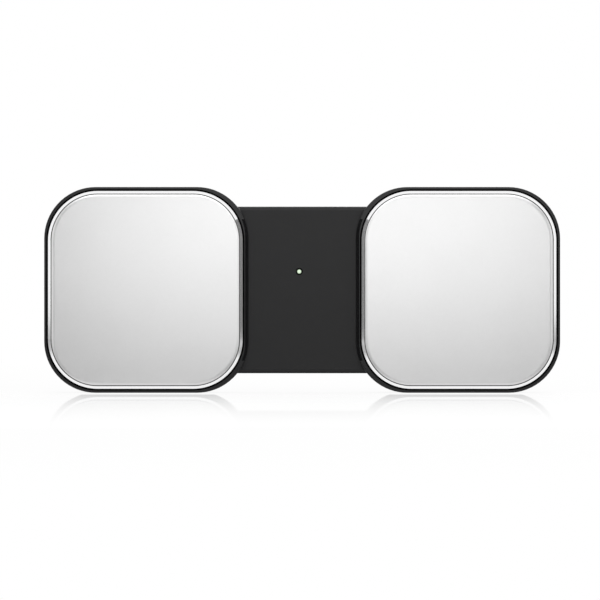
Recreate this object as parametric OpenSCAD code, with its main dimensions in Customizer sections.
// Hand-held home heart monitor: two square thumb electrodes on a slim dog-bone casing.
// Every piece is drawn lying on its back, with X along the casing, Y up its face and Z from the
// back (0) to the front, and stand() then sets it upright on the pods' lower edges.
// In the upright frame the electrodes face -Y and the battery cover faces +Y.

/* [Casing] */
// Length over both pods
overall_len = 100; // [97:0.5:112]
// Width of one pod along the casing
pod_w = 39.6; // [36:0.1:43]
// Height of one pod
pod_h = 39.9; // [36:0.1:44]
// Radius of a pod's corners, seen from the front
pod_r = 10; // [9:0.1:11.5]
// Height of the bridge that joins the pods
bridge_h = 32.4; // [30:0.1:34]
// Thickness of the side walls
wall_t = 1.5; // [1.4:0.05:1.8]
// Thickness of the rear floor
floor_t = 1.3; // [1.1:0.05:1.6]
// Thickness of the bridge's front wall
bridge_wall_t = 1.2; // [1:0.05:1.4]
// How far the pods' rims stand above the bridge
rim_drop = 1.3; // [1.1:0.05:1.5]
// Width of the slant between a pod's rim and the bridge
ramp_w = 0.65; // [0.3:0.05:0.7]
// Length over which that slant runs out at the bridge's long sides
ramp_out = 2.5; // [1:0.5:5]
// Radius along the back edges
back_fillet = 1.8; // [0.8:0.1:2.2]
// Radius along the bridge's front edges
bridge_fillet = 0.8; // [0.3:0.1:1]
// Width of a rim on the pod's outer side
rim_out_w = 0.42; // [0.38:0.01:1]
// Width of a rim on the side of the bridge
rim_in_w = 0.78; // [0.76:0.01:1.4]
// Width of a rim along the pod's top and bottom
rim_edge_w = 0.45; // [0.4:0.01:1]
// How much tighter the rims' inner corners are than the pod's
rim_corner_w = 0.05; // [0:0.05:0.6]
// Radius on the pods' rims
rim_fillet = 0.25; // [0.1:0.05:0.35]

/* [Seam] */
// Height of the seam above the back face
seam_z = 4.4; // [4:0.1:4.6]
// Open line between the two shells
seam_gap = 0.2; // [0.1:0.05:0.4]
// Thickness of the front shell's outer lip at the seam
lip_t = 0.7; // [0.5:0.05:0.8]
// Height of the rear shell's tongue
tongue_h = 0.9; // [0.6:0.05:1.1]
// Play between tongue and lip
tongue_fit = 0.08; // [0.04:0.01:0.15]
// Gap between pieces that are drawn seated
touch = 0.05; // [0.02:0.01:0.08]

/* [Snap hooks] */
// Width of a hook's arm
hook_w = 4; // [3:0.5:6]
// Thickness of a hook's arm
hook_t = 0.9; // [0.7:0.05:1.2]
// Height of a hook's tip above the back face
hook_z = 1.9; // [1.7:0.1:2.4]
// Reach of the barb into the wall
hook_barb = 0.5; // [0.3:0.05:0.6]
// Height of the barb
hook_rise = 0.9; // [0.6:0.05:1.2]
// Distance between the two hooks of a side
hook_pitch = 9; // [7:0.5:12]
// Play round a barb in its catch
hook_play = 0.1; // [0.05:0.01:0.15]

/* [Electrodes] */
// Open line between plate and rim
plate_gap = 0.35; // [0.06:0.01:0.4]
// Sheet thickness of a plate
plate_t = 0.5; // [0.4:0.05:0.6]
// How far a plate's face stands above the rim
plate_proud = 0.5; // [0.45:0.05:0.6]
// Width of the polished bevel round a plate
bevel_w = 0.5; // [0.4:0.05:0.6]
// Height of that bevel
bevel_h = 0.35; // [0.2:0.05:0.4]
// Width of the fine groove inside the bevel
groove_w = 0.2; // [0.08:0.01:0.25]
// Depth of that groove
groove_d = 0.12; // [0.05:0.01:0.15]
// How far the bevel's top lies below the face
bevel_drop = 0.15; // [0.13:0.01:0.16]
// Width of the soft shoulder round the face
shoulder_w = 0.6; // [0.4:0.05:0.6]
// Radius of that shoulder
shoulder_r = 1.5; // [1.45:0.05:2]
// Play between a plate's skirt and its pocket
skirt_clear = 0.1; // [0.05:0.05:0.2]
// Plastic left under the pocket
deck_t = 1; // [0.8:0.05:1.4]
// Height of the plateau inside the pocket
plateau_h = 0.6; // [0.4:0.05:0.8]
// Thickness of the sealing tape
tape_t = 0.3; // [0.2:0.05:0.4]
// Diameter of a plate's rear studs
stud_d = 2; // [1.6:0.1:2.4]
// Distance between the two studs
stud_pitch = 18; // [14:0.5:20]
// How far a stud passes the deck
stud_reach = 0.8; // [0.6:0.05:0.9]
// Play round a stud in its hole
stud_fit = 0.1; // [0.05:0.05:0.2]
// Diameter of a push nut
push_nut_d = 5; // [4:0.1:6]
// Thickness of a push nut
push_nut_t = 0.3; // [0.2:0.05:0.4]
// Play of a pressed or screwed joint
press_fit = 0.02; // [0.01:0.01:0.04]

/* [Circuit board] */
// Thickness of the board
board_t = 0.8; // [0.6:0.1:1]
// Gap between board and side walls
board_gap = 0.5; // [0.3:0.05:0.8]
// Height of the board where it crosses the bridge
board_neck_h = 24; // [20:0.5:25]
// Diameter of the posts that hold the board in the bridge
post_d = 2.4; // [2:0.1:3]
// Distance of the posts from the bridge's ends
post_in = 0.9; // [0:0.1:1.4]
// Distance of the posts from the board's edges
post_edge = 2; // [1.5:0.1:3]

/* [Status light] */
// Offset of the light from the middle of the casing
light_x = -0.56; // [-3:0.01:3]
// Height of the light above the casing's middle
light_y = 3.57; // [0:0.01:8]
// Diameter of the light pipe's tip
light_d = 0.8; // [0.6:0.05:1.4]
// Diameter of the countersink round the tip
light_sink_d = 1.4; // [1.3:0.05:2]
// Diameter of the light pipe's flange
light_flange_d = 2.4; // [2:0.1:3]
// Thickness of that flange
light_flange_t = 0.3; // [0.2:0.05:0.35]
// Height of the light-emitting diode
led_h = 0.6; // [0.4:0.05:0.8]
// Gap between that diode and the flange
light_gap = 0.1; // [0.05:0.05:0.3]

/* [Coin cell] */
// Diameter of the cell
cell_d = 20; // [18:0.1:22]
// Height of the cell
cell_h = 3.2; // [2.5:0.1:3.2]
// Sheet thickness of the cell's can
can_t = 0.3; // [0.2:0.05:0.4]
// Width of the insulating ring in the can's mouth
gasket_w = 0.5; // [0.4:0.05:0.8]
// Width of the flat shoulder between that ring and the raised cap
cap_shoulder = 0.4; // [0.2:0.05:1]
// Height of the cap above the can's rim
cap_rise = 0.3; // [0.2:0.05:0.4]
// Room for the negative spring above the cell
spring_room = 0.5; // [0.45:0.05:0.8]
// Thickness of the contact springs' strip
spring_t = 0.15; // [0.1:0.05:0.2]
// Play round the cell inside the cover's hub
cell_fit = 0.3; // [0.2:0.05:0.4]

/* [Battery cover] */
// Thickness of the cover under the cell
cover_t = 1.4; // [1.2:0.05:1.6]
// Thickness of the cover's flange
flange_t = 0.9; // [0.7:0.05:1]
// Thickness of the hub's wall
hub_t = 0.9; // [0.8:0.05:1.1]
// Play between hub and ledge
hub_fit = 0.2; // [0.1:0.05:0.3]
// Reach of a bayonet lug beyond the hub
lug_reach = 1; // [0.8:0.05:1.2]
// Height of a lug
lug_t = 0.7; // [0.5:0.05:0.8]
// Angle that a lug spans
lug_deg = 26; // [18:1:28]
// Number of lugs
lug_count = 3; // [2:1:3]
// Turn from locked to open
open_deg = 45; // [36:1:46]
// Thickness of the ledge that the lugs pass under
ledge_t = 0.7; // [0.5:0.05:0.8]
// Running clearance of the cover's moving faces
cover_fit = 0.1; // [0.05:0.01:0.15]
// How far the flange reaches past the lugs
flange_lap = 0.5; // [0.4:0.05:0.8]
// Radius on the cover's outer edge
cover_fillet = 0.3; // [0.1:0.05:0.4]
// Wall of the battery well
well_t = 1; // [0.8:0.05:1.2]
// Cross-section diameter of the seal ring
seal_d = 0.7; // [0.5:0.05:0.8]
// Radius of the coin that fits the slot
coin_r = 20; // [12:0.5:24]
// Width of the coin slot
slot_w = 1.8; // [1.4:0.1:2.4]
// Depth of the coin slot
slot_depth = 0.8; // [0.5:0.05:0.9]

/* [Fasteners] */
// Diameter of the screws' shanks
screw_d = 2; // [1.6:0.1:2.2]
// Diameter of the screws' heads
screw_head_d = 3.6; // [3:0.1:4]
// Height of the heads
screw_head_h = 1.1; // [0.8:0.1:1.2]
// Width of the cross in the heads
recess_w = 0.6; // [0.4:0.05:0.8]
// Length of the cross in the heads
recess_len = 2; // [1.4:0.1:2.2]
// Depth of the cross in the heads
recess_h = 0.7; // [0.4:0.05:0.75]
// Depth of the counterbores
counterbore_h = 1.5; // [1.3:0.05:1.8]
// Play round shanks and heads
screw_fit = 0.15; // [0.1:0.05:0.25]
// Distance of the screws from a pod's middle along the casing
screw_x = 12.4; // [12.2:0.1:12.8]
// Distance of the screws from a pod's middle up the face
screw_y = 12.6; // [12.4:0.1:13.2]
// Outer diameter of the threaded inserts
insert_d = 3.2; // [2.8:0.1:3.4]
// Length of the inserts
insert_h = 2.3; // [1.6:0.1:2.3]
// Outer diameter of the screw bosses
boss_d = 5.2; // [4.8:0.1:5.4]

/* [Hidden] */

smooth = 96;            // sides of a curve in a preview
overcut = 1;            // how far a cut runs past the face that it opens
sink = 0.2;             // how deep a boss or rib is rooted in its wall
ramp_fade = 0.3;        // how far past the pod's sides the slanting cut keeps the pod's corners
stop_play_deg = 1;      // turn left between a lug and its stop
notch_play_deg = 2;     // turn left between a lug and the sides of its entry notch
rib_inset_deg = 3;      // how far a centring rib ends before the lugs' paths
lug_start_deg = 90;     // where the first lug stands when the cover is locked

// Places of the parts on the board, from the left pod's middle.
chip_at = [2, 9];
chip_size = [5, 5, 0.9];
crystal_at = [9, 4];
crystal_size = [3.2, 2.5, 0.7];
radio_at = [-2, -5];
radio_size = [13, 11, 0.6];
shield_edge = 0.6;      // width of the module's board outside its can
shield_h = 1.6;
shield_t = 0.2;
chip_bypass_at = [2, 4.4];
chip_bypass_size = [1, 0.5, 0.5];
chip_bypass_pitch = 2;
// The same, from the bridge's right end and the board's lower edge.
antenna_at = [-4.9, 2.5];
antenna_size = [3.2, 1.6, 0.9];
// The same, from the bridge's middle and the board's lower edge.
bridge_bypass_at = [0, 7];
bridge_bypass_size = [1.6, 0.8, 0.8];
bridge_bypass_pitch = 2.4;
// The same, from the stud that each electrode is read through.
resistor_at = [4, 6];
resistor_size = [1.6, 0.8, 0.45];
resistor_pitch = 2.4;
led_size = [1.6, 0.8];

// Bent contact strips between studs and board.
contact_foot = 3;       // length of the foot soldered to the board
contact_bend = 0.5;     // how far the arm leans over its foot
contact_tip = 0.6;      // length of the flat tip under the stud
contact_w = 2;          // width of the strip

// Battery contacts and film.
clip_w = 4;             // width of the positive clip
clip_bow = 0.6;         // how far the clip's ends stand off the can
minus_span = 12;        // length of the negative spring
minus_w = 3;            // width of the negative spring
minus_tip = 2;          // half the length that presses on the cap
film_t = 0.1;           // thickness of the film on the board
film_gap = 1;           // room round the negative spring in the film

// Heights above the back face, from the parts that are stacked on each other.
cell_z = cover_t + cover_fit;
cell_top = cell_z + cell_h;
board_z = cell_top + spring_room;
board_top = board_z + board_t;
bridge_in_z = board_top + led_h + light_gap + light_flange_t;
bridge_z = bridge_in_z + bridge_wall_t;
rim_z = bridge_z + rim_drop;
face_z = rim_z + plate_proud;
plate_under = face_z - plate_t;
plateau_z = plate_under - tape_t;
pocket_z = plateau_z - plateau_h;
deck_z = pocket_z - deck_t;
skirt_z = pocket_z + skirt_clear;
bevel_z = face_z - bevel_drop;

// Places along the casing, and the outlines of pocket and plate inside a pod's rim.
pod_x = (overall_len - pod_w) / 2;
bridge_end = pod_x - pod_w / 2;
plate_x = pod_x + (rim_in_w - rim_out_w) / 2;
pocket_w = pod_w - rim_out_w - rim_in_w;
pocket_h = pod_h - 2 * rim_edge_w;
pocket_r = pod_r - rim_corner_w;
plate_w = pocket_w - 2 * plate_gap;
plate_h = pocket_h - 2 * plate_gap;
plate_r = pocket_r - plate_gap;
plateau_in = plate_t + skirt_clear;
groove_in = bevel_w + groove_w;

// Radii of the battery cover and its bay.
cell_r = cell_d / 2;
gasket_in_r = cell_r - can_t - gasket_w;
cap_r = gasket_in_r - cap_shoulder;
hub_in_r = cell_r + cell_fit;
hub_r = hub_in_r + hub_t;
ledge_r = hub_r + hub_fit;
lug_r = hub_r + lug_reach;
notch_r = lug_r + hub_fit / 2;
well_r = lug_r + hub_fit;
seal_bore_r = well_r + hub_fit / 2;
flange_r = lug_r + flange_lap;
flange_pocket_r = flange_r + hub_fit;

// Heights of the bayonet, from the flange inwards, and the angles left between its slots.
seat_z = flange_t + touch;
ledge_z = seat_z + seal_d;
lug_z = ledge_z + ledge_t + cover_fit;
hub_top = lug_z + lug_t;
inner_z = hub_top + cover_fit;
stop_deg = 360 / lug_count - lug_deg - open_deg - 2 * stop_play_deg;
clip_deg = lug_start_deg + 360 / lug_count * (lug_count - 1) - open_deg / 2;

// Heights of the fasteners.
insert_z = board_top + touch;
shank_top = board_top + insert_h;
head_z = counterbore_h - screw_head_h;

// Outline of a thin strip of thickness t along the path p, mitred at its bends.
function unit(v) = v / norm(v);
function way(p, i) = unit(p[min(i + 1, len(p) - 1)] - p[min(i, len(p) - 2)]);
function mitre(p, i, t) =
    let (a = way(p, max(i - 1, 0)), b = way(p, i), n = unit([-a[1] - b[1], a[0] + b[0]]))
    p[i] + n * t / 2 / (n * [-b[1], b[0]]);
function strip(p, t) = concat([for (i = [0:len(p) - 1]) mitre(p, i, t)],
    [for (i = [len(p) - 1:-1:0]) mitre(p, i, -t)]);

// Sets a piece drawn on its back upright, with its lower edge at Z 0.
module stand() {
    translate([0, face_z / 2, pod_h / 2]) rotate([90, 0, 0]) children();
}

module disc(d) {
    circle(d = d, $fn = smooth);
}

module ring(outer_r, inner_r) {
    difference() {
        disc(2 * outer_r);
        disc(2 * inner_r);
    }
}

module rounded_rect(w, h, r) {
    square([w - 2 * r, h], center = true);
    square([w, h - 2 * r], center = true);
    for (sx = [-1, 1], sy = [-1, 1])
        translate([sx * (w / 2 - r), sy * (h / 2 - r)]) disc(2 * r);
}

module slab(z0, z1) {
    translate([0, 0, z0]) linear_extrude(z1 - z0) children();
}

// A ring sector from angle a0, spanning `span` degrees.
module sector(r0, r1, z0, z1, a0, span) {
    rotate([0, 0, a0]) rotate_extrude(angle = span, $fn = smooth)
        translate([r0, z0]) square([r1 - r0, z1 - z0]);
}

// A round piece whose edge follows the children: a cross-section drawn for a piece $span wide.
module turned(r) {
    rotate_extrude($fn = smooth, $span = 2 * r) intersection() {
        children();
        square([r, face_z]);
    }
}

// The same for a block with round corners, as two bars and four turned corners.
module framed_block(w, h, r) {
    rotate([90, 0, 90]) linear_extrude(w - 2 * r, center = true, $span = h) children();
    rotate([90, 0, 0]) linear_extrude(h - 2 * r, center = true, $span = w) children();
    for (sx = [-1, 1], sy = [-1, 1])
        translate([sx * (w / 2 - r), sy * (h / 2 - r), 0]) turned(r) children();
}

// Cross-section with a rounded lower and upper edge.
module rounded_section(z0, z1, low, high) {
    half = $span / 2;
    middle = (z0 + z1) / 2;
    translate([-half, z0 + low]) square([$span, z1 - z0 - low - high]);
    if (low > 0) {
        translate([low - half, z0]) square([$span - 2 * low, middle - z0]);
        for (s = [-1, 1]) translate([s * (half - low), z0 + low]) disc(2 * low);
    }
    if (high > 0) {
        translate([high - half, middle]) square([$span - 2 * high, z1 - middle]);
        for (s = [-1, 1]) translate([s * (half - high), z1 - high]) disc(2 * high);
    }
}

// Cross-section whose upper face falls away in a shallow arc over the width `fall`.
module crowned_section(z0, z1, fall, radius) {
    half = $span / 2;
    intersection() {
        translate([-half, z0]) square([$span, z1 - z0]);
        union() {
            translate([fall - half, z0]) square([$span - 2 * fall, z1 - z0]);
            for (s = [-1, 1]) translate([s * (half - fall), z1 - radius]) disc(2 * radius);
        }
    }
}

// Cross-section with a flat bevel along its upper edge.
module bevelled_section(z0, z1, width, height) {
    half = $span / 2;
    polygon([[-half, z0], [half, z0], [half, z1 - height], [half - width, z1],
        [width - half, z1], [-half, z1 - height]]);
}

module casing_plan(inset) {
    for (side = [-1, 1])
        translate([side * pod_x, 0])
            rounded_rect(pod_w - 2 * inset, pod_h - 2 * inset, pod_r - inset);
    square([2 * pod_x, bridge_h - 2 * inset], center = true);
}

// A bar along the bridge, with the children as its cross-section.
module bridge_bar() {
    rotate([90, 0, 90]) linear_extrude(2 * pod_x, center = true, $span = bridge_h) children();
}

module at_screws() {
    for (side = [-1, 1], sy = [-1, 1])
        translate([side * (pod_x + screw_x), sy * screw_y, 0]) children();
}

module at_posts() {
    for (sx = [-1, 1], sy = [-1, 1])
        translate([sx * (bridge_end - post_in), sy * (board_neck_h / 2 - post_edge), 0]) children();
}

module at_studs(side) {
    for (s = [-1, 1]) translate([side * plate_x + s * stud_pitch / 2, 0, 0]) children();
}

module at_lugs() {
    for (i = [0:lug_count - 1]) rotate([0, 0, lug_start_deg + i * 360 / lug_count]) children();
}

// Spring arms on the front shell that clip the long sides of the bridge together.
hook_y = bridge_h / 2 - wall_t - touch;

module at_hooks() {
    for (sx = [-1, 1], sy = [-1, 1])
        translate([sx * hook_pitch / 2, 0, 0]) mirror([0, sy < 0 ? 1 : 0, 0]) children();
}

module snap_hook() {
    translate([-hook_w / 2, hook_y - hook_t, hook_z])
        cube([hook_w, hook_t, bridge_in_z + sink - hook_z]);
    translate([-hook_w / 2, hook_y, hook_z]) rotate([90, 0, 90]) linear_extrude(hook_w)
        polygon([[-hook_t / 2, 0], [0, 0], [hook_barb, hook_rise], [-hook_t / 2, hook_rise]]);
}

module snap_catch() {
    translate([-hook_w / 2 - hook_play, hook_y - hook_t, hook_z - hook_play])
        cube([hook_w + 2 * hook_play, hook_t + hook_barb + hook_play, hook_rise + 2 * hook_play]);
}

// Above the bridge's face a pod leans back from the bridge, by a slanting cut that runs out
// towards the bridge's long sides.
module front_pod(side) {
    tilt = atan(ramp_w / rim_drop);
    long = 2 * pod_w;
    lean = ramp_out / rim_drop;
    translate([side * pod_x, 0, 0]) intersection() {
        framed_block(pod_w, pod_h, pod_r)
            rounded_section(seam_z + seam_gap, rim_z, 0, rim_fillet);
        union() {
            translate([0, 0, bridge_z]) rotate([0, side * tilt, 0])
                translate([side * (long - pod_w * cos(tilt)) / 2, 0, 0])
                    linear_extrude(4 * face_z, center = true)
                        rounded_rect(long, pod_h + 2 * ramp_fade, pod_r);
            for (s = [-1, 1]) rotate([90, 0, 90]) linear_extrude(long, center = true)
                polygon([[s * pod_h, bridge_z - overcut], [s * pod_h, rim_z + overcut],
                    [s * (bridge_h / 2 - lean * (rim_drop + overcut)), rim_z + overcut],
                    [s * (bridge_h / 2 + lean * overcut), bridge_z - overcut]]);
        }
    }
}

// The pocket for one plate, with the plateau left standing in it.
module electrode_pocket(side) {
    inset = plate_gap + plateau_in;
    translate([side * plate_x, 0, 0]) difference() {
        slab(pocket_z, rim_z + overcut) rounded_rect(pocket_w, pocket_h, pocket_r);
        slab(pocket_z - overcut, plateau_z)
            rounded_rect(pocket_w - 2 * inset, pocket_h - 2 * inset, pocket_r - inset);
    }
}

module front_shell() {
    color([0.16, 0.16, 0.165]) difference() {
        union() {
            difference() {
                union() {
                    front_pod(-1);
                    front_pod(1);
                    bridge_bar() rounded_section(seam_z + seam_gap, bridge_z, 0, bridge_fillet);
                }
                for (side = [-1, 1])
                    translate([side * pod_x, 0, 0]) slab(seam_z - overcut, deck_z)
                        rounded_rect(pod_w - 2 * wall_t, pod_h - 2 * wall_t, pod_r - wall_t);
                slab(seam_z - overcut, bridge_in_z)
                    square([2 * pod_x, bridge_h - 2 * wall_t], center = true);
                slab(seam_z - overcut, seam_z + tongue_h + 2 * tongue_fit) casing_plan(lip_t);
                electrode_pocket(-1);
                electrode_pocket(1);
            }
            at_screws() slab(board_top + touch, deck_z + sink) disc(boss_d);
            at_posts() slab(board_top + touch, bridge_in_z + sink) disc(post_d);
            at_hooks() snap_hook();
        }
        at_screws() slab(board_top - overcut, insert_z + insert_h + touch)
            disc(insert_d + 2 * press_fit);
        for (side = [-1, 1])
            at_studs(side) slab(deck_z - overcut, plateau_z + overcut) disc(stud_d + 2 * stud_fit);
        translate([light_x, light_y, 0]) {
            slab(bridge_in_z - overcut, bridge_z + overcut) disc(light_d + 2 * touch);
            translate([0, 0, bridge_z - (light_sink_d - light_d) / 2])
                cylinder(d1 = light_d, d2 = light_sink_d + 2 * touch,
                    h = (light_sink_d - light_d) / 2 + touch, $fn = smooth);
        }
    }
}

// One bayonet slot: an entry notch through the ledge, and above it the path of the lug.
module lug_slot() {
    sector(cell_r, notch_r, ledge_z - touch, ledge_z + ledge_t + touch,
        -open_deg - lug_deg / 2 - notch_play_deg, lug_deg + 2 * notch_play_deg);
    sector(cell_r, well_r, ledge_z + ledge_t, board_z + overcut,
        -open_deg - lug_deg / 2 - stop_play_deg, open_deg + lug_deg + 2 * stop_play_deg);
}

// The round battery bay: flange pocket, seal seat, bore for the cover's hub and bayonet slots.
// Between the slots, ribs above the hub keep the cell in the middle.
module battery_bay() {
    slab(-overcut, seat_z) disc(2 * flange_pocket_r);
    slab(seat_z - touch, ledge_z) disc(2 * seal_bore_r);
    difference() {
        slab(ledge_z - touch, board_z + overcut) disc(2 * ledge_r);
        at_lugs() sector(cell_r + cell_fit / 2, ledge_r + overcut, inner_z, board_z + 2 * overcut,
            lug_deg / 2 + stop_play_deg + rib_inset_deg, stop_deg - 2 * rib_inset_deg);
    }
    at_lugs() lug_slot();
}

module rear_shell() {
    color([0.14, 0.14, 0.145]) difference() {
        union() {
            difference() {
                union() {
                    for (side = [-1, 1])
                        translate([side * pod_x, 0, 0]) framed_block(pod_w, pod_h, pod_r)
                            rounded_section(0, seam_z, back_fillet, 0);
                    bridge_bar() rounded_section(0, seam_z, back_fillet, 0);
                }
                slab(floor_t, seam_z + overcut) casing_plan(wall_t);
                at_hooks() snap_catch();
            }
            slab(seam_z - sink, seam_z + tongue_h) difference() {
                casing_plan(lip_t + tongue_fit);
                casing_plan(wall_t);
            }
            at_screws() slab(floor_t - sink, board_z - touch) disc(boss_d);
            at_posts() slab(floor_t - sink, board_z - touch) disc(post_d);
            translate([pod_x, 0, 0]) slab(floor_t - sink, board_z - touch)
                disc(2 * (well_r + well_t));
        }
        at_screws() {
            slab(-overcut, board_z + overcut) disc(screw_d + 2 * screw_fit);
            slab(-overcut, counterbore_h) disc(screw_head_d + 2 * screw_fit);
        }
        translate([pod_x, 0, 0]) {
            battery_bay();
            rotate([0, 0, clip_deg]) translate([ledge_r, -clip_w / 2 - touch, inner_z])
                cube([well_t + 2 * lug_reach, clip_w + 2 * touch, board_z]);
        }
    }
}

// A pressed steel cap: face with a soft shoulder, fine groove, bevel and skirt, and two studs
// welded behind.
module electrode(side) {
    stand() color([0.78, 0.78, 0.79]) {
        translate([side * plate_x, 0, 0]) difference() {
            union() {
                difference() {
                    framed_block(plate_w, plate_h, plate_r)
                        bevelled_section(skirt_z, bevel_z, bevel_w, bevel_h);
                    slab(bevel_z - groove_d, bevel_z + overcut)
                        rounded_rect(plate_w - 2 * bevel_w, plate_h - 2 * bevel_w, plate_r - bevel_w);
                }
                framed_block(plate_w - 2 * groove_in, plate_h - 2 * groove_in, plate_r - groove_in)
                    crowned_section(skirt_z, face_z, shoulder_w, shoulder_r);
            }
            slab(skirt_z - overcut, plate_under)
                rounded_rect(plate_w - 2 * plate_t, plate_h - 2 * plate_t, plate_r - plate_t);
        }
        at_studs(side) slab(deck_z - stud_reach, plate_under + plate_t / 2) disc(stud_d);
    }
}

module sealing_tape(side) {
    stand() color([0.1, 0.1, 0.1]) difference() {
        translate([side * plate_x, 0, 0]) slab(plateau_z, plate_under)
            rounded_rect(plate_w - 2 * plateau_in, plate_h - 2 * plateau_in, plate_r - plateau_in);
        at_studs(side) slab(plateau_z - overcut, plate_under + overcut) disc(stud_d + 2 * stud_fit);
    }
}

module push_nuts(side) {
    stand() color([0.7, 0.7, 0.72]) at_studs(side) slab(deck_z - push_nut_t, deck_z) difference() {
        disc(push_nut_d);
        disc(stud_d + 2 * press_fit);
        for (a = [0, 60, 120])
            rotate(a) square([push_nut_d * 0.7, stud_d / 5], center = true);
    }
}

// The pipe's tip is domed and ends inside the countersink.
module light_pipe() {
    tip_z = bridge_z - (light_sink_d - light_d) / 4;
    stand() color([0.86, 0.95, 0.84]) translate([light_x, light_y, 0]) {
        slab(bridge_in_z - light_flange_t, bridge_in_z) disc(light_flange_d);
        intersection() {
            slab(bridge_in_z - light_flange_t, tip_z) disc(light_d);
            translate([0, 0, tip_z - 2 * light_d]) sphere(d = 4 * light_d, $fn = smooth);
        }
    }
}

module status_led() {
    stand() color([0.9, 0.92, 0.8]) translate([light_x, light_y, board_top]) {
        translate([-led_size[0] / 2, -led_size[1] / 2, 0]) cube([led_size[0], led_size[1], led_h / 2]);
        slab(0, led_h) disc(led_size[1]);
    }
}

module circuit_board() {
    inset = wall_t + board_gap;
    stand() color([0.05, 0.27, 0.16]) difference() {
        slab(board_z, board_top) {
            for (side = [-1, 1])
                translate([side * pod_x, 0])
                    rounded_rect(pod_w - 2 * inset, pod_h - 2 * inset, pod_r - inset);
            square([2 * pod_x, board_neck_h], center = true);
        }
        at_screws() slab(board_z - overcut, board_top + overcut) disc(screw_d + 2 * screw_fit);
    }
}

// A bent strip from the board up to the end of a stud.
module contact_spring(side) {
    low = spring_t / 2;
    high = deck_z - stud_reach - board_top - spring_t / 2;
    stand() color([0.85, 0.7, 0.35])
        translate([side * (plate_x - stud_pitch / 2), contact_w / 2, board_top]) rotate([90, 0, 0])
            linear_extrude(contact_w) polygon(strip([[contact_foot / 2, low], [-contact_foot / 2, low],
                [-contact_foot / 2 - contact_bend / 2, (low + high) / 2],
                [-contact_bend, high], [contact_tip, high], [contact_tip + contact_bend, high - low]],
                spring_t));
}

// A flat leadless chip: base with solder pads, and a slightly smaller moulded top.
module flat_chip(size) {
    pad = size[2] / 5;
    translate([-size[0] / 2, -size[1] / 2, 0]) cube([size[0], size[1], pad]);
    translate([pad - size[0] / 2, pad - size[1] / 2, 0])
        cube([size[0] - 2 * pad, size[1] - 2 * pad, size[2]]);
}

// Two-terminal chips in a row, each a body with a metal cap at both ends.
module chip_row(count, pitch, size) {
    cap = size[0] / 5;
    skin = size[2] / 20;
    for (i = [0:count - 1]) translate([(i - (count - 1) / 2) * pitch, 0, 0]) {
        translate([-size[0] / 2, -size[1] / 2, 0]) cube(size);
        for (s = [-1, 1]) translate([s * (size[0] - cap) / 2 - cap / 2, -size[1] / 2 - skin, 0])
            cube([cap, size[1] + 2 * skin, size[2] + skin]);
    }
}

module heart_signal_chip() {
    stand() color([0.08, 0.08, 0.09]) translate([chip_at[0] - pod_x, chip_at[1], board_top])
        flat_chip(chip_size);
}

module quartz_crystal() {
    stand() color([0.8, 0.78, 0.7]) translate([crystal_at[0] - pod_x, crystal_at[1], board_top])
        flat_chip(crystal_size);
}

// The radio module hangs under the board, with its can towards the rear floor.
module radio_module_board() {
    stand() color([0.05, 0.2, 0.35]) translate([radio_at[0] - pod_x, radio_at[1], 0])
        slab(board_z - radio_size[2], board_z) square([radio_size[0], radio_size[1]], center = true);
}

module radio_shield_can() {
    w = radio_size[0] - 2 * shield_edge;
    h = radio_size[1] - 2 * shield_edge;
    top = board_z - radio_size[2];
    stand() color([0.75, 0.75, 0.77]) translate([radio_at[0] - pod_x, radio_at[1], 0]) difference() {
        slab(top - shield_h, top) square([w, h], center = true);
        slab(top - shield_h + shield_t, top + overcut)
            square([w - 2 * shield_t, h - 2 * shield_t], center = true);
    }
}

module chip_antenna() {
    stand() color([0.9, 0.88, 0.82])
        translate([bridge_end + antenna_at[0], antenna_at[1] - board_neck_h / 2, board_top])
            flat_chip(antenna_size);
}

module input_resistors() {
    stand() color([0.1, 0.1, 0.1]) for (side = [-1, 1])
        translate([side * (plate_x - stud_pitch / 2 - resistor_at[0]), resistor_at[1], board_top])
            rotate([0, 0, 90]) chip_row(3, resistor_pitch, resistor_size);
}

module bypass_capacitors() {
    stand() color([0.6, 0.5, 0.38]) {
        translate([chip_bypass_at[0] - pod_x, chip_bypass_at[1], board_top])
            chip_row(3, chip_bypass_pitch, chip_bypass_size);
        translate([bridge_bypass_at[0], bridge_bypass_at[1] - board_neck_h / 2, board_top])
            chip_row(4, bridge_bypass_pitch, bridge_bypass_size);
    }
}

// Thin film under the board that keeps the cell off its copper.
module board_insulator() {
    stand() color([0.85, 0.6, 0.15]) translate([pod_x, 0, 0]) slab(board_z - film_t, board_z)
        difference() {
            disc(2 * cap_r);
            square([minus_span + film_gap, minus_w + film_gap], center = true);
        }
}

module cell_can() {
    stand() color([0.76, 0.76, 0.77]) translate([pod_x, 0, cell_z]) difference() {
        turned(cell_r) rounded_section(0, cell_h - cap_rise, can_t, can_t / 2);
        slab(can_t, cell_h) disc(2 * (cell_r - can_t));
    }
}

module cell_gasket() {
    stand() color([0.12, 0.12, 0.13]) translate([pod_x, 0, cell_z])
        slab(can_t, cell_h - cap_rise) ring(cell_r - can_t, gasket_in_r);
}

module cell_cap() {
    stand() color([0.7, 0.7, 0.71]) translate([pod_x, 0, cell_z]) {
        slab(can_t, cell_h - cap_rise) disc(2 * gasket_in_r);
        slab(can_t, cell_h) disc(2 * cap_r);
    }
}

// Strip from the board down to the can's side, through the window in the well.
module battery_plus_clip() {
    low = inner_z + cover_fit;
    high = board_z - spring_t / 2;
    near = touch + spring_t / 2;
    stand() color([0.8, 0.78, 0.6]) translate([pod_x, 0, 0]) rotate([0, 0, clip_deg])
        translate([cell_r, clip_w / 2, 0]) rotate([90, 0, 0]) linear_extrude(clip_w)
            polygon(strip([[well_r + well_t - cell_r, high], [near + clip_bow, high],
                [near, (low + high) / 2], [near + clip_bow / 2, low + spring_t / 2]], spring_t));
}

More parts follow.
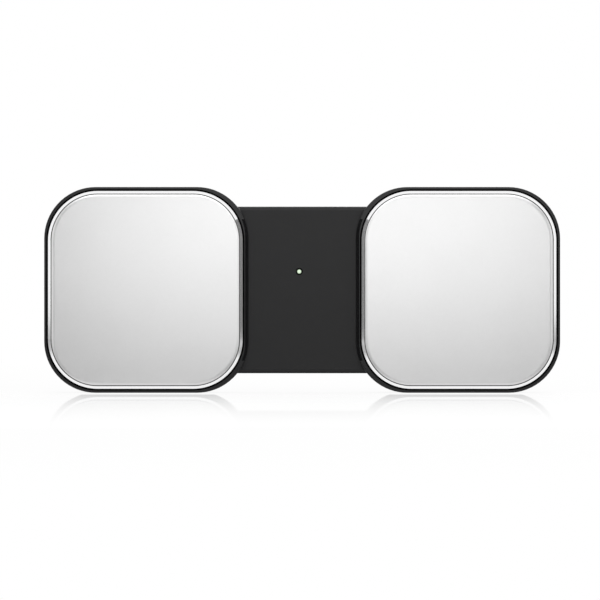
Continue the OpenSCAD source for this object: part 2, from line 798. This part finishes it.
// Two arms bent down from the board, with a flat between them that presses on the cell's cap.
module battery_minus_spring() {
    low = cell_top + touch + spring_t / 2;
    high = board_z - spring_t / 2;
    stand() color([0.8, 0.78, 0.6]) translate([pod_x, minus_w / 2, 0]) rotate([90, 0, 0])
        linear_extrude(minus_w) polygon(strip([[-minus_span / 2, high], [-minus_span / 3, high],
            [-minus_tip, low], [minus_tip, low], [minus_span / 3, high], [minus_span / 2, high]],
            spring_t));
}

// Flange, floor, hub and lugs in one piece, with a slot for a coin across its outside.
module battery_cover() {
    stand() color([0.15, 0.15, 0.155]) translate([pod_x, 0, 0]) difference() {
        union() {
            turned(flange_r) rounded_section(0, flange_t, cover_fillet, 0);
            slab(flange_t / 2, cover_t) disc(2 * (hub_in_r + touch));
            slab(flange_t / 2, hub_top) ring(hub_r, hub_in_r);
            at_lugs() sector(hub_r - sink, lug_r, lug_z, hub_top, -lug_deg / 2, lug_deg);
        }
        translate([0, slot_w / 2, slot_depth - coin_r]) rotate([90, 0, 0])
            cylinder(r = coin_r, h = slot_w, $fn = smooth);
    }
}

module battery_cover_seal() {
    gap = touch / 2;
    stand() color([0.1, 0.1, 0.1]) translate([pod_x, 0, seat_z + seal_d / 2 - gap])
        rotate_extrude($fn = smooth) translate([hub_r + seal_d / 2 + gap, 0]) disc(seal_d - 2 * gap);
}

module housing_screws() {
    stand() color([0.7, 0.7, 0.72]) at_screws() difference() {
        union() {
            slab(head_z, counterbore_h - touch) disc(screw_head_d);
            slab(head_z, shank_top) disc(screw_d);
        }
        slab(head_z - overcut, head_z + recess_h) {
            square([recess_len, recess_w], center = true);
            square([recess_w, recess_len], center = true);
        }
    }
}

module threaded_inserts() {
    stand() color([0.78, 0.62, 0.3]) at_screws()
        slab(insert_z, insert_z + insert_h) ring(insert_d / 2, screw_d / 2 + press_fit);
}

stand() front_shell();
stand() rear_shell();
electrode(-1);  // left_electrode
electrode(1);  // right_electrode
sealing_tape(-1);  // left_sealing_tape
sealing_tape(1);  // right_sealing_tape
push_nuts(-1);  // left_push_nuts
push_nuts(1);  // right_push_nuts
light_pipe();
status_led();
circuit_board();
contact_spring(-1);  // left_contact_spring
contact_spring(1);  // right_contact_spring
heart_signal_chip();
radio_module_board();
radio_shield_can();
chip_antenna();
quartz_crystal();
input_resistors();
bypass_capacitors();
board_insulator();
cell_can();
cell_cap();
cell_gasket();
battery_plus_clip();
battery_minus_spring();
battery_cover();
battery_cover_seal();
housing_screws();
threaded_inserts();
